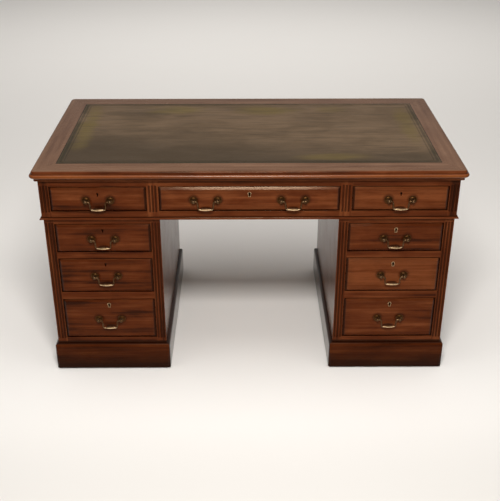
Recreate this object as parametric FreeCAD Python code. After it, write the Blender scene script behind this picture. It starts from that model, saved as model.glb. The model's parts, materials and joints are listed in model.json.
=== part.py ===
import FreeCAD, Part
import math
import os

# A pedestal writing desk in millimetres.
# The origin is on the floor below the middle of the top, the drawers face minus y and z is up.

# Top and its leather
top_width = 1426.0
top_depth = 780.0
top_thick = 36.0
top_corner_radius = 22.0
top_overhang = 24.0
border_width = 78.0
leather_thick = 1.2

# Moulded edge of the top, from the upper face down
edge_round_width = 5.5
edge_round_height = 9.0
edge_fillet = 3.0
edge_ledge = 0.5
nose_radius = 6.5
cove_lip = 1.5
cove_width = 5.0
cove_height = 6.5

# Frieze, the long case under the top
frieze_upper_rail = 24.0
frieze_opening = 88.5
frieze_lower_rail = 28.5
frieze_outer_stile = 33.0
frieze_inner_stile = 40.0
frieze_bottom_thick = 12.0
frieze_moulding_proud = 6.5
frieze_moulding_height = 8.0
frieze_moulding_lip = 1.5
frieze_moulding_fillet = 3.0

# Pedestals
pedestal_width = 387.0
pedestal_setback = 4.0
pedestal_stile = 33.0
bottom_rail = 23.0
bottom_opening = 159.0
middle_opening = 132.0
top_opening = 106.5
lower_divider_rail = 28.0
upper_divider_rail = 24.5
top_rail = 19.0
rail_depth = 60.0
dust_board_thick = 12.0
cap_board_thick = 15.0

# Boards that frieze and pedestals share
board_thick = 18.0
back_thick = 14.0
stile_depth = 22.0
guide_height = 18.0
partition_thick = 18.0

# Flutes cut into the stiles
flute_count = 3
flute_radius = 3.3
flute_pitch = 10.3
flute_depth = 2.6
flute_end_reach = 4.5

# Pegs that keep the frieze in place on the pedestals
peg_radius = 8.0
peg_inset = 70.0
peg_bury = 11.0
peg_clearance = 0.1

# Plinths
plinth_lift = 5.0
plinth_height = 101.0
plinth_proud = 12.0
plinth_thick = 18.0
plinth_round_width = 11.0
plinth_round_height = 16.0
plinth_corner_radius = 9.0
corner_block = 76.0

# Castors
castor_inset = 55.0
castor_trail = 14.0
wheel_radius = 17.0
wheel_width = 16.0
wheel_crown = 2.0
wheel_headroom = 3.0
axle_radius = 3.0
axle_clearance = 0.05
cheek_thick = 2.5
cheek_gap = 0.5
cheek_boss = 6.0
horn_top_thick = 3.0
horn_top_reach = 10.0
kingpin_radius = 4.0
kingpin_clearance = 0.05
kingpin_head_radius = 6.5
kingpin_head_thick = 1.5
castor_play = 0.3
castor_plate_half = 21.0
castor_plate_thick = 3.0
plate_screw_radius = 2.2
plate_screw_inset = 5.5

# Drawers
drawer_rear_space = 70.0
drawer_side_gap = 1.2
drawer_top_gap = 2.0
drawer_bottom_gap = 0.8
drawer_front_thick = 20.0
drawer_side_thick = 10.0
drawer_back_thick = 10.0
drawer_back_drop = 8.0
drawer_bottom_thick = 7.0
drawer_bottom_rise = 9.0
tail_length = 14.0
tail_spread = 3.0
tail_pitch = 32.0
field_proud = 4.0
rim_width = 8.5
rim_depth = 6.5
rim_step = 0.6

# Locks, keyholes and escutcheons
lock_width = 60.0
lock_height = 38.0
lock_thick = 12.0
lock_top_margin = 4.0
lock_clearance = 0.2
keyhole_radius = 3.6
keyslot_width = 3.6
keyslot_drop = 9.5
escutcheon_rim = 2.2
escutcheon_depth = 4.0
escutcheon_proud = 0.4
escutcheon_clearance = 0.05
frieze_key_drop = 22.0
top_key_drop = 19.5
middle_key_drop = 18.0
bottom_key_drop = 18.0

# Handles
post_spacing = 80.0
post_reach = 14.0
post_ball_radius = 5.5
post_neck_radius = 3.3
post_collar_radius = 5.6
post_collar_thick = 2.0
shank_radius = 2.8
shank_clearance = 0.1
shank_end = 1.5
nut_radius = 6.0
nut_thick = 4.0
rosette_radius = 13.5
rosette_edge = 1.4
rosette_step = 3.0
rosette_thick = 3.4
bail_radius = 2.4
bail_pin_clearance = 0.05
bail_pin_reach = 3.5
bail_shoulder = 6.5
bail_bend_radius = 8.0
bail_drop = 28.0
bail_swan_degrees = 88.0
grip_radius = 4.2
centre_handle_share = 0.485
frieze_handle_drop = 3.0
top_handle_drop = 2.0

# Cuts run past the wood by this much, and mitres leave this much for the glue
overrun = 5.0
mitre_gap = 0.1

# Point half way round a quarter circle
diagonal_share = math.sqrt(0.5)
short_share = 1 - diagonal_share

# Heights, from the floor up
plinth_top = plinth_lift + plinth_height
bottom_opening_z = plinth_top + bottom_rail
middle_opening_z = bottom_opening_z + bottom_opening + lower_divider_rail
top_opening_z = middle_opening_z + middle_opening + upper_divider_rail
pedestal_top = top_opening_z + top_opening + top_rail
frieze_opening_z = pedestal_top + frieze_lower_rail
frieze_top = frieze_opening_z + frieze_opening + frieze_upper_rail
desk_height = frieze_top + top_thick

# Widths and depths, from the middle out
half_width = top_width / 2
half_depth = top_depth / 2
frieze_half = half_width - top_overhang
frieze_front = top_overhang - half_depth
frieze_back = -frieze_front
pedestal_outer = frieze_half - pedestal_setback
pedestal_inner = pedestal_outer - pedestal_width
pedestal_front = frieze_front + pedestal_setback
pedestal_back = -pedestal_front
side_opening_inner = pedestal_inner + frieze_inner_stile
side_opening_outer = frieze_half - frieze_outer_stile
pedestal_opening_inner = pedestal_inner + pedestal_stile
pedestal_opening_outer = pedestal_outer - pedestal_stile

sides = (-1, 1)
os.makedirs("parts", exist_ok=True)


def point(x, y, z):
    return FreeCAD.Vector(x, y, z)


def board(x_a, x_b, y_a, y_b, z_a, z_b):
    low = point(min(x_a, x_b), min(y_a, y_b), min(z_a, z_b))
    return Part.makeBox(abs(x_b - x_a), abs(y_b - y_a), abs(z_b - z_a), low)


def rod(radius, start, end):
    run = end - start
    return Part.makeCylinder(radius, run.Length, start, run)


def prism(points, run):
    return Part.Face(Part.makePolygon(points + points[:1])).extrude(run)


def upright_edges(solid):
    return [edge for edge in solid.Edges if abs(edge.tangentAt(edge.FirstParameter).z) > diagonal_share]


def save(name, solids):
    Part.makeCompound(solids).exportStep("parts/" + name + ".step")


# A closed wire through (u, d) points, where a step of four numbers is an arc through its first pair
def outline(steps, place):
    ends = [place(*step[-2:]) for step in steps]
    edges = []
    for index, step in enumerate(steps):
        start = ends[index - 1]
        if len(step) == 4:
            edges.append(Part.Arc(start, place(*step[:2]), ends[index]).toShape())
        else:
            edges.append(Part.makeLine(start, ends[index]))
    return Part.Wire(edges)


# Runs a moulding along the four edges of a face, whose corner and two sides are given
def mould_rim(solid, corner, side_a, side_b, into, steps):
    edges = (
        (corner, side_a, side_b),
        (corner + side_b, side_a, -side_b),
        (corner, side_b, side_a),
        (corner + side_a, side_b, -side_a),
    )
    for start, along, across in edges:
        step_along = along / along.Length
        step_in = across / across.Length
        begin = start - step_along * overrun

        def place(u, d):
            return begin + step_in * u + into * d

        cutter = Part.Face(outline(steps, place)).extrude(along + step_along * overrun * 2)
        solid = solid.cut(cutter)
    return solid


# Saws a rectangular ring into four boards that meet at mitres
def mitred(ring, centre, half_x, half_y, width, z_low, z_high):
    boards = []
    outer_x = half_x + overrun
    outer_y = half_y + overrun
    inner_x = half_x - width
    inner_y = half_y - width
    run = point(0, 0, z_high - z_low)
    outer = ((-outer_x, -outer_y), (outer_x, -outer_y), (outer_x, outer_y), (-outer_x, outer_y))
    inner = ((-inner_x, -inner_y), (inner_x, -inner_y), (inner_x, inner_y), (-inner_x, inner_y))
    for index in range(len(outer)):
        corners = (outer[index - 1], outer[index], inner[index], inner[index - 1])
        ends = [point(centre + x, y, z_low) for x, y in corners]
        trim = (ends[1] - ends[0]).normalize() * mitre_gap / 2
        wedge = prism([ends[0] + trim, ends[1] - trim, ends[2] - trim, ends[3] + trim], run)
        boards += ring.common(wedge).Solids
    return boards


# A piece turned on a lathe, from (radius, height) steps along an axis that points to the front
def turned(steps, centre):
    def place(radius, height):
        return centre + point(radius, -height, 0)

    face = Part.Face(outline(steps, place))
    return face.revolve(centre, point(0, -1, 0), 360)


# Top


def top_slab():
    nose_top = edge_round_height + edge_fillet
    nose_low = nose_top + nose_radius * 2
    edge_run = nose_radius + edge_ledge + edge_round_width
    ledge_end = nose_radius + edge_ledge
    cove_start = nose_radius + cove_lip
    cove_end = cove_start + cove_width
    profile = (
        (top_corner_radius, top_thick),
        (top_corner_radius, 0),
        (edge_run, 0),
        (edge_run - edge_round_width * diagonal_share, edge_round_height * short_share,
         ledge_end, edge_round_height),
        (ledge_end, nose_top),
        (nose_radius, nose_top),
        (0, nose_top + nose_radius, nose_radius, nose_low),
        (cove_start, nose_low),
        (cove_start + cove_width * diagonal_share, nose_low + cove_height * short_share,
         cove_end, nose_low + cove_height),
        (cove_end, top_thick),
    )
    straight_x = half_width - top_corner_radius
    straight_y = half_depth - top_corner_radius
    bands = []
    for side in sides:
        def long_edge(u, d):
            return point(-straight_x, side * (half_depth - u), desk_height - d)

        def end_edge(u, d):
            return point(side * (half_width - u), -straight_y, desk_height - d)

        bands.append(Part.Face(outline(profile, long_edge)).extrude(point(straight_x * 2, 0, 0)))
        bands.append(Part.Face(outline(profile, end_edge)).extrude(point(0, straight_y * 2, 0)))
        for end in sides:
            def corner_edge(u, d):
                return point(end * (half_width - u), side * straight_y, desk_height - d)

            axis = point(end * straight_x, side * straight_y, 0)
            corner = Part.Face(outline(profile, corner_edge))
            bands.append(corner.revolve(axis, point(0, 0, end * side), 90))
    core = board(-straight_x, straight_x, -straight_y, straight_y, frieze_top, desk_height)
    return core.multiFuse(bands).removeSplitter()


def make_top():
    panel_x = half_width - border_width
    panel_y = half_depth - border_width
    ground_top = desk_height - leather_thick
    hollow = board(-panel_x, panel_x, -panel_y, panel_y, frieze_top - overrun, desk_height + overrun)
    ring = top_slab().cut(hollow)
    z_low = frieze_top - overrun
    z_high = desk_height + overrun
    border = mitred(ring, 0, half_width, half_depth, border_width, z_low, z_high)
    save("top_moulded_border", border)
    save("top_ground_panel", [board(-panel_x, panel_x, -panel_y, panel_y, frieze_top, ground_top)])
    save("leather_writing_surface", [board(-panel_x, panel_x, -panel_y, panel_y, ground_top, desk_height)])


# Fluted stiles


def fluted_stile(x_a, x_b, y_face, z_low, z_high, flute_low, flute_high):
    stile = board(x_a, x_b, y_face, y_face + stile_depth, z_low, z_high)
    axis_y = y_face + flute_depth - flute_radius
    low = flute_low - flute_end_reach + flute_radius
    high = flute_high + flute_end_reach - flute_radius
    middle = (x_a + x_b) / 2
    first = middle - flute_pitch * (flute_count - 1) / 2
    for index in range(flute_count):
        x = first + index * flute_pitch
        bottom = point(x, axis_y, low)
        top = point(x, axis_y, high)
        ends = [Part.makeSphere(flute_radius, bottom), Part.makeSphere(flute_radius, top)]
        stile = stile.cut(rod(flute_radius, bottom, top).multiFuse(ends))
    return stile


# Frieze


def peg_places():
    near = pedestal_inner + peg_inset
    far = pedestal_outer - peg_inset
    reach = pedestal_back - peg_inset
    return [(side * x, y) for side in sides for x in (near, far) for y in (-reach, reach)]


def peg_hole(x, y):
    low = point(x, y, pedestal_top - cap_board_thick - overrun)
    return rod(peg_radius + peg_clearance, low, point(x, y, frieze_opening_z + overrun))


def make_frieze_case():
    inner_face = frieze_half - board_thick
    behind_stile = frieze_front + stile_depth
    back_face = frieze_back - board_thick
    ends = []
    for side in sides:
        ends.append(board(side * inner_face, side * frieze_half, behind_stile, frieze_back,
                          pedestal_top, frieze_top))
    back = board(-inner_face, inner_face, back_face, frieze_back, pedestal_top, frieze_top)
    save("frieze_ends_and_back", ends + [back])

    stiles = []
    for side in sides:
        for x_a, x_b in ((side_opening_outer, frieze_half), (pedestal_inner, side_opening_inner)):
            stiles.append(fluted_stile(side * x_a, side * x_b, frieze_front, pedestal_top, frieze_top,
                                       frieze_opening_z, frieze_opening_z + frieze_opening))
    save("frieze_fluted_stiles", stiles)

    bays = (
        (-side_opening_outer, -side_opening_inner),
        (-pedestal_inner, pedestal_inner),
        (side_opening_inner, side_opening_outer),
    )
    opening_top = frieze_opening_z + frieze_opening
    rails = []
    for x_a, x_b in bays:
        rails.append(board(x_a, x_b, frieze_front, behind_stile, pedestal_top, frieze_opening_z))
        rails.append(board(x_a, x_b, frieze_front, behind_stile, opening_top, frieze_top))
    save("frieze_front_rails", rails)

    bottom_low = frieze_opening_z - frieze_bottom_thick
    bottom = board(-inner_face, inner_face, behind_stile, back_face, bottom_low, frieze_opening_z)
    for x, y in peg_places():
        bottom = bottom.cut(peg_hole(x, y))
    stile_middle = (pedestal_inner + side_opening_inner) / 2
    near = stile_middle - partition_thick / 2
    far = stile_middle + partition_thick / 2
    partitions = []
    for side in sides:
        partitions.append(board(side * near, side * far, behind_stile, back_face,
                                frieze_opening_z, frieze_top))
    save("frieze_bottom_and_partitions", [bottom] + partitions)
    return ((pedestal_inner, near), (far, side_opening_inner), (side_opening_outer, inner_face))


def make_frieze_moulding():
    outer_x = frieze_half + frieze_moulding_proud
    outer_y = frieze_back + frieze_moulding_proud
    top = pedestal_top + frieze_moulding_height
    slab = board(-outer_x, outer_x, -outer_y, outer_y, pedestal_top, top)
    hollow = frieze_moulding_proud - frieze_moulding_lip
    rise = frieze_moulding_height - frieze_moulding_fillet
    steps = (
        (-overrun, rise),
        (-overrun, -overrun),
        (hollow, -overrun),
        (hollow, 0),
        (hollow * diagonal_share, rise * diagonal_share, 0, rise),
    )
    corner = point(-outer_x, -outer_y, top)
    along_x = point(outer_x * 2, 0, 0)
    along_y = point(0, outer_y * 2, 0)
    slab = mould_rim(slab, corner, along_x, along_y, point(0, 0, -1), steps)
    case = board(-frieze_half, frieze_half, frieze_front, frieze_back,
                 pedestal_top - overrun, top + overrun)
    strips = mitred(slab.cut(case), 0, outer_x, outer_y, frieze_moulding_proud, pedestal_top, top)
    save("frieze_base_moulding", strips)


# Pedestals


def make_pedestals():
    behind_stile = pedestal_front + stile_depth
    behind_rail = pedestal_front + rail_depth
    back_face = pedestal_back - back_thick
    inner_face = pedestal_inner + board_thick
    outer_face = pedestal_outer - board_thick
    rail_heights = (
        (plinth_top, bottom_opening_z),
        (bottom_opening_z + bottom_opening, middle_opening_z),
        (middle_opening_z + middle_opening, top_opening_z),
        (top_opening_z + top_opening, pedestal_top),
    )
    drawer_floors = (bottom_opening_z, middle_opening_z, top_opening_z)
    stile_spans = ((pedestal_inner, pedestal_opening_inner), (pedestal_opening_outer, pedestal_outer))
    side_spans = ((pedestal_inner, inner_face), (outer_face, pedestal_outer))
    guide_spans = ((inner_face, pedestal_opening_inner), (pedestal_opening_outer, outer_face))
    case_boards = []
    stiles = []
    rails = []
    dust_boards = []
    guides = []
    for side in sides:
        x_in = side * inner_face
        x_out = side * outer_face
        for x_a, x_b in side_spans:
            case_boards.append(board(side * x_a, side * x_b, behind_stile, pedestal_back,
                                     plinth_top, pedestal_top))
        case_boards.append(board(x_in, x_out, back_face, pedestal_back, plinth_top, pedestal_top))
        for x_a, x_b in stile_spans:
            stiles.append(fluted_stile(side * x_a, side * x_b, pedestal_front, plinth_top, pedestal_top,
                                       bottom_opening_z, top_opening_z + top_opening))
        for low, high in rail_heights:
            rail = board(x_in, x_out, pedestal_front, behind_rail, low, high)
            for x_a, x_b in stile_spans:
                rail = rail.cut(board(side * x_a, side * x_b, pedestal_front, behind_stile, low, high))
            rails.append(rail)
        for floor in drawer_floors:
            dust_boards.append(board(x_in, x_out, behind_rail, back_face, floor - dust_board_thick, floor))
            for x_a, x_b in guide_spans:
                guides.append(board(side * x_a, side * x_b, behind_rail, back_face,
                                    floor, floor + guide_height))
        cap_low = pedestal_top - cap_board_thick
        cap = board(x_in, x_out, behind_rail, back_face, cap_low, pedestal_top)
        for x, y in peg_places():
            cap = cap.cut(peg_hole(x, y))
        dust_boards.append(cap)
    save("pedestal_sides_and_backs", case_boards)
    save("pedestal_fluted_stiles", stiles)
    save("pedestal_drawer_rails", rails)
    return dust_boards + guides


def make_dust_boards_and_guides(pedestal_boards, frieze_bays):
    y_low = frieze_front + stile_depth
    y_high = frieze_back - board_thick
    guides = []
    for side in sides:
        for x_a, x_b in frieze_bays:
            top = frieze_opening_z + guide_height
            guides.append(board(side * x_a, side * x_b, y_low, y_high, frieze_opening_z, top))
    save("dust_boards_and_guides", pedestal_boards + guides)


def make_pegs():
    low = pedestal_top - peg_bury
    high = frieze_opening_z - peg_clearance
    save("locating_pegs", [rod(peg_radius, point(x, y, low), point(x, y, high)) for x, y in peg_places()])


# Plinths


def make_plinths():
    middle = (pedestal_inner + pedestal_outer) / 2
    half_x = pedestal_width / 2 + plinth_proud
    half_y = pedestal_back + plinth_proud
    block_low = castor_plate_top()
    steps = (
        (-overrun, plinth_round_height),
        (-overrun, -overrun),
        (plinth_round_width, -overrun),
        (plinth_round_width, 0),
        (plinth_round_width * short_share, plinth_round_height * short_share, 0, plinth_round_height),
    )
    boards = []
    blocks = []
    for side in sides:
        centre = side * middle
        frame = board(centre - half_x, centre + half_x, -half_y, half_y, plinth_lift, plinth_top)
        frame = frame.makeFillet(plinth_corner_radius, upright_edges(frame))
        corner = point(centre - half_x, -half_y, plinth_top)
        along_x = point(half_x * 2, 0, 0)
        along_y = point(0, half_y * 2, 0)
        frame = mould_rim(frame, corner, along_x, along_y, point(0, 0, -1), steps)
        inner_x = half_x - plinth_thick
        inner_y = half_y - plinth_thick
        frame = frame.cut(board(centre - inner_x, centre + inner_x, -inner_y, inner_y,
                                plinth_lift - overrun, plinth_top + overrun))
        boards += mitred(frame, centre, half_x, half_y, plinth_thick, plinth_lift, plinth_top)
        for end_x in sides:
            for end_y in sides:
                x = centre + end_x * inner_x
                y = end_y * inner_y
                x_in = x - end_x * corner_block
                y_in = y - end_y * corner_block
                blocks.append(board(x, x_in, y, y_in, block_low, plinth_top))
    save("plinth_boards", boards)
    save("plinth_corner_blocks", blocks)


# Castors


def horn_low():
    return wheel_radius * 2 + wheel_headroom


def castor_plate_top():
    return horn_low() + horn_top_thick + castor_play + castor_plate_thick


def castor_places():
    middle = (pedestal_inner + pedestal_outer) / 2
    reach_x = pedestal_width / 2 + plinth_proud - castor_inset
    reach_y = pedestal_back + plinth_proud - castor_inset
    places = []
    for side, side_name in zip(sides, ("left", "right")):
        for end_y, y_name in zip(sides, ("front", "back")):
            for end_x, x_name in zip(sides, ("outer", "inner")):
                x = side * (middle - end_x * reach_x)
                places.append((side_name + "_" + y_name + "_" + x_name, x, end_y * reach_y))
    return places


def castor_plate(x, y):
    top = castor_plate_top()
    bottom = top - castor_plate_thick
    half = castor_plate_half
    plate = board(x - half, x + half, y - half, y + half, bottom, top)
    head_top = horn_low() - castor_play
    pin = rod(kingpin_radius, point(x, y, head_top), point(x, y, top))
    head = rod(kingpin_head_radius, point(x, y, head_top - kingpin_head_thick), point(x, y, head_top))
    plate = plate.multiFuse([pin, head])
    reach = half - plate_screw_inset
    screws = []
    for end_x in sides:
        for end_y in sides:
            low = point(x + end_x * reach, y + end_y * reach, bottom)
            screw = rod(plate_screw_radius, low, low + point(0, 0, castor_plate_thick))
            plate = plate.cut(screw)
            screws.append(screw)
    return [plate] + screws


def castor_horn(x, y):
    low = horn_low()
    cheek_in = wheel_width / 2 + cheek_gap
    cheek_out = cheek_in + cheek_thick
    axle_y = y + castor_trail
    top = low + horn_top_thick
    horn = board(x - cheek_out, x + cheek_out, y - horn_top_reach, y + horn_top_reach, low, top)
    axle_start = point(x - cheek_out, axle_y, wheel_radius)
    axle_end = point(x + cheek_out, axle_y, wheel_radius)
    pieces = [rod(axle_radius, axle_start, axle_end)]
    for side in sides:
        start = x + side * cheek_in
        corners = (
            (y - horn_top_reach, top),
            (y + horn_top_reach, top),
            (axle_y + cheek_boss, wheel_radius),
            (axle_y - cheek_boss, wheel_radius),
        )
        run = point(side * cheek_thick, 0, 0)
        pieces.append(prism([point(start, y_end, z_end) for y_end, z_end in corners], run))
        boss = point(start, axle_y, wheel_radius)
        pieces.append(rod(cheek_boss, boss, boss + run))
    hole = rod(kingpin_radius + kingpin_clearance, point(x, y, low - overrun), point(x, y, low + overrun))
    return horn.multiFuse(pieces).cut(hole).removeSplitter()


def castor_wheel(x, y):
    axle_y = y + castor_trail
    centre = point(x, axle_y, wheel_radius)
    half = wheel_width / 2
    shoulder = wheel_radius - wheel_crown
    bore = axle_radius + axle_clearance

    def place(along, radius):
        return centre + point(along, 0, radius)

    steps = (
        (-half, bore),
        (-half, shoulder),
        (0, wheel_radius, half, shoulder),
        (half, bore),
    )
    return Part.Face(outline(steps, place)).revolve(centre, point(1, 0, 0), 360)


def make_castors():
    plates = []
    for name, x, y in castor_places():
        plates += castor_plate(x, y)
        save(name + "_castor_horn", [castor_horn(x, y)])
        save(name + "_castor_wheel", [castor_wheel(x, y)])
    save("castor_plates", plates)


# Drawers


def keyhole(x, y_a, y_b, z, margin):
    round_part = rod(keyhole_radius + margin, point(x, y_a, z), point(x, y_b, z))
    half = keyslot_width / 2 + margin
    slot = board(x - half, x + half, y_a, y_b, z - keyslot_drop - margin, z)
    return round_part.fuse(slot).removeSplitter()


# Dovetail tails on the front end of a drawer side, as prisms that the front is cut for
def dovetails(x_a, x_b, y_root, z_low, z_high):
    count = max(1, int((z_high - z_low) / tail_pitch))
    pitch = (z_high - z_low) / count
    tails = []
    for index in range(count):
        middle = z_low + index * pitch + pitch / 2
        half = pitch / 2 - tail_spread * 2
        wide = half + tail_spread
        corners = (
            (y_root, middle - half),
            (y_root, middle + half),
            (y_root - tail_length, middle + wide),
            (y_root - tail_length, middle - wide),
        )
        tails.append(prism([point(x_a, y, z) for y, z in corners], point(x_b - x_a, 0, 0)))
    return tails


def drawer_front(x_a, x_b, y_face, z_a, z_b):
    field = y_face - field_proud
    front = board(x_a, x_b, field, y_face + drawer_front_thick, z_a, z_b)
    steps = (
        (-overrun, rim_depth),
        (-overrun, -overrun),
        (rim_width, -overrun),
        (rim_width, rim_step),
        (0, rim_depth),
    )
    corner = point(x_a, field, z_a)
    along_x = point(x_b - x_a, 0, 0)
    along_z = point(0, 0, z_b - z_a)
    return mould_rim(front, corner, along_x, along_z, point(0, 1, 0), steps)


def handle_places(x_a, x_b, pair):
    middle = (x_a + x_b) / 2
    offset = (x_b - x_a) / 2 * centre_handle_share
    if pair:
        return [middle - offset, middle + offset]
    return [middle]


def make_drawer(name, x_a, x_b, y_face, end, floor, opening, drops, with_escutcheon, bail_names):
    key_drop, handle_drop = drops
    x_a += drawer_side_gap
    x_b -= drawer_side_gap
    z_a = floor + drawer_bottom_gap
    z_b = floor + opening - drawer_top_gap
    field = y_face - field_proud
    inside = y_face + drawer_front_thick
    middle = (x_a + x_b) / 2
    key_z = z_b - key_drop
    post_z = floor + opening / 2 - handle_drop

    front = drawer_front(x_a, x_b, y_face, z_a, z_b)
    box = []
    for outer, inner in ((x_a, x_a + drawer_side_thick), (x_b, x_b - drawer_side_thick)):
        side_board = board(outer, inner, inside, end, z_a, z_b)
        tails = dovetails(outer, inner, inside, z_a, z_b)
        front = front.cut(Part.makeCompound(tails))
        box.append(side_board.multiFuse(tails).removeSplitter())
    inner_a = x_a + drawer_side_thick
    inner_b = x_b - drawer_side_thick
    bottom_low = z_a + drawer_bottom_rise
    bottom_top = bottom_low + drawer_bottom_thick
    box.append(board(inner_a, inner_b, inside, end, bottom_low, bottom_top))
    box.append(board(inner_a, inner_b, end - drawer_back_thick, end, bottom_top, z_b - drawer_back_drop))

    fittings = []
    lock_top = z_b - lock_top_margin
    lock = board(middle - lock_width / 2, middle + lock_width / 2, inside - lock_thick, inside,
                 lock_top - lock_height, lock_top)
    recess_half = lock_width / 2 + lock_clearance
    recess = board(middle - recess_half, middle + recess_half, inside - lock_thick, inside + overrun,
                   lock_top - lock_height - lock_clearance, lock_top + lock_clearance)
    front = front.cut(recess)
    front = front.cut(keyhole(middle, field - overrun, inside, key_z, 0))
    fittings.append(lock.cut(keyhole(middle, field, inside - lock_thick / 2, key_z, 0)))
    if with_escutcheon:
        depth = field + escutcheon_depth
        seat_rim = escutcheon_rim + escutcheon_clearance
        front = front.cut(keyhole(middle, field - overrun, depth, key_z, seat_rim))
        plate = keyhole(middle, field - escutcheon_proud, depth, key_z, escutcheon_rim)
        fittings.append(plate.cut(keyhole(middle, field - overrun, depth + overrun, key_z, 0)))

    for bail_name, handle_x in zip(bail_names, handle_places(x_a, x_b, len(bail_names) > 1)):
        for side in sides:
            post_x = handle_x + side * post_spacing / 2
            hole = rod(shank_radius + shank_clearance, point(post_x, field - overrun, post_z),
                       point(post_x, inside + overrun, post_z))
            front = front.cut(hole)
            fittings += handle_post(post_x, field, inside, post_z)
        save(bail_name, [bail(handle_x, field - post_reach, post_z)])
    save(name, [front] + box)
    save(name + "_fittings", fittings)


# Handles


def handle_post(x, field, inside, z):
    seat = point(x, field, z)
    hole = shank_radius + shank_clearance
    rosette_neck = post_collar_radius + rosette_step
    rosette = turned((
        (hole, 0),
        (rosette_radius, 0),
        (rosette_radius, rosette_edge),
        (rosette_radius - rosette_step, rosette_edge),
        (rosette_neck, rosette_thick),
        (hole, rosette_thick),
    ), seat)
    collar_top = rosette_thick + post_collar_thick
    back = -(inside + nut_thick + shank_end - field)
    post = turned((
        (0, back),
        (shank_radius, back),
        (shank_radius, rosette_thick),
        (post_collar_radius, rosette_thick),
        (post_collar_radius, collar_top),
        (post_neck_radius, collar_top),
        (post_neck_radius, post_reach),
        (0, post_reach),
    ), seat)
    ball_centre = point(x, field - post_reach, z)
    eye_reach = point(post_ball_radius * 2, 0, 0)
    eye = rod(bail_radius + bail_pin_clearance, ball_centre - eye_reach, ball_centre + eye_reach)
    post = post.fuse(Part.makeSphere(post_ball_radius, ball_centre)).cut(eye).removeSplitter()
    nut_start = point(x, inside, z)
    nut_end = point(x, inside + nut_thick, z)
    nut = rod(nut_radius, nut_start, nut_end).cut(rod(hole, nut_start, nut_end))
    return [rosette, post, nut]


# A swan-necked bail that hangs from its two pins, with a grip that swells in the middle
def bail(x, y, z):
    swan = math.radians(bail_swan_degrees)
    half_swan = swan / 2
    bend = bail_bend_radius
    neck = (bail_drop - bend * 2 * (1 - math.cos(swan))) / math.sin(swan)
    pin_end = post_spacing / 2 + bail_pin_reach
    pin_start = post_spacing / 2 - bail_shoulder
    first = (pin_start - bend * math.sin(swan), -bend * (1 - math.cos(swan)))
    second = (first[0] - neck * math.cos(swan), first[1] - neck * math.sin(swan))
    third = (second[0] - bend * math.sin(swan), -bail_drop)
    upper_bend = (pin_start - bend * math.sin(half_swan), -bend * (1 - math.cos(half_swan)))
    lower_bend = (third[0] + bend * math.sin(half_swan), -bail_drop + bend * (1 - math.cos(half_swan)))

    def place(side, spot):
        return point(x + side * spot[0], y, z + spot[1])

    halves = []
    for side in sides:
        start = place(side, (pin_start, 0))
        knees = [place(side, spot) for spot in (first, second, third)]
        halves.append([
            Part.makeLine(place(side, (pin_end, 0)), start),
            Part.Arc(start, place(side, upper_bend), knees[0]).toShape(),
            Part.makeLine(knees[0], knees[1]),
            Part.Arc(knees[1], place(side, lower_bend), knees[2]).toShape(),
        ])
    grip_line = Part.makeLine(place(-1, third), place(1, third))
    path = Part.Wire(Part.sortEdges(halves[0] + [grip_line] + halves[1])[0])
    section = Part.Wire(Part.makeCircle(bail_radius, place(-1, (pin_end, 0)), point(1, 0, 0)))
    bow = path.makePipeShell([section], True, False)

    def swell(along, radius):
        return point(x + along, y, z - bail_drop + radius)

    reach = third[0]
    spindle = Part.Face(outline((
        (-reach, 0),
        (-reach, bail_radius),
        (0, grip_radius, reach, bail_radius),
        (reach, 0),
    ), swell))
    grip = spindle.revolve(point(x, y, z - bail_drop), point(1, 0, 0), 360)
    return bow.fuse(grip).removeSplitter()


def make_drawers():
    frieze_end = frieze_back - board_thick - drawer_rear_space
    pedestal_end = pedestal_back - back_thick - drawer_rear_space
    frieze_drops = (frieze_key_drop, frieze_handle_drop)
    frieze = (frieze_front, frieze_end, frieze_opening_z, frieze_opening, frieze_drops)
    make_drawer("left_frieze_drawer", -side_opening_outer, -side_opening_inner, *frieze, False,
                ["left_frieze_bail"])
    make_drawer("centre_frieze_drawer", -pedestal_inner, pedestal_inner, *frieze, True,
                ["centre_frieze_left_bail", "centre_frieze_right_bail"])
    make_drawer("right_frieze_drawer", side_opening_inner, side_opening_outer, *frieze, False,
                ["right_frieze_bail"])
    stack = (
        ("top", top_opening_z, top_opening, (top_key_drop, top_handle_drop), (False, True)),
        ("middle", middle_opening_z, middle_opening, (middle_key_drop, 0), (False, True)),
        ("bottom", bottom_opening_z, bottom_opening, (bottom_key_drop, 0), (True, True)),
    )
    for level, floor, opening, drops, escutcheons in stack:
        for side, side_name, with_escutcheon in zip(sides, ("left", "right"), escutcheons):
            ends = sorted((side * pedestal_opening_inner, side * pedestal_opening_outer))
            name = side_name + "_" + level
            make_drawer(name + "_drawer", *ends, pedestal_front, pedestal_end, floor, opening, drops,
                        with_escutcheon, [name + "_bail"])


make_top()
frieze_bays = make_frieze_case()
make_frieze_moulding()
make_dust_boards_and_guides(make_pedestals(), frieze_bays)
make_pegs()
make_plinths()
make_castors()
make_drawers()
print("desk", top_width, top_depth, desk_height)
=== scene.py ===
import json
import math
import random
from collections import Counter

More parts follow.
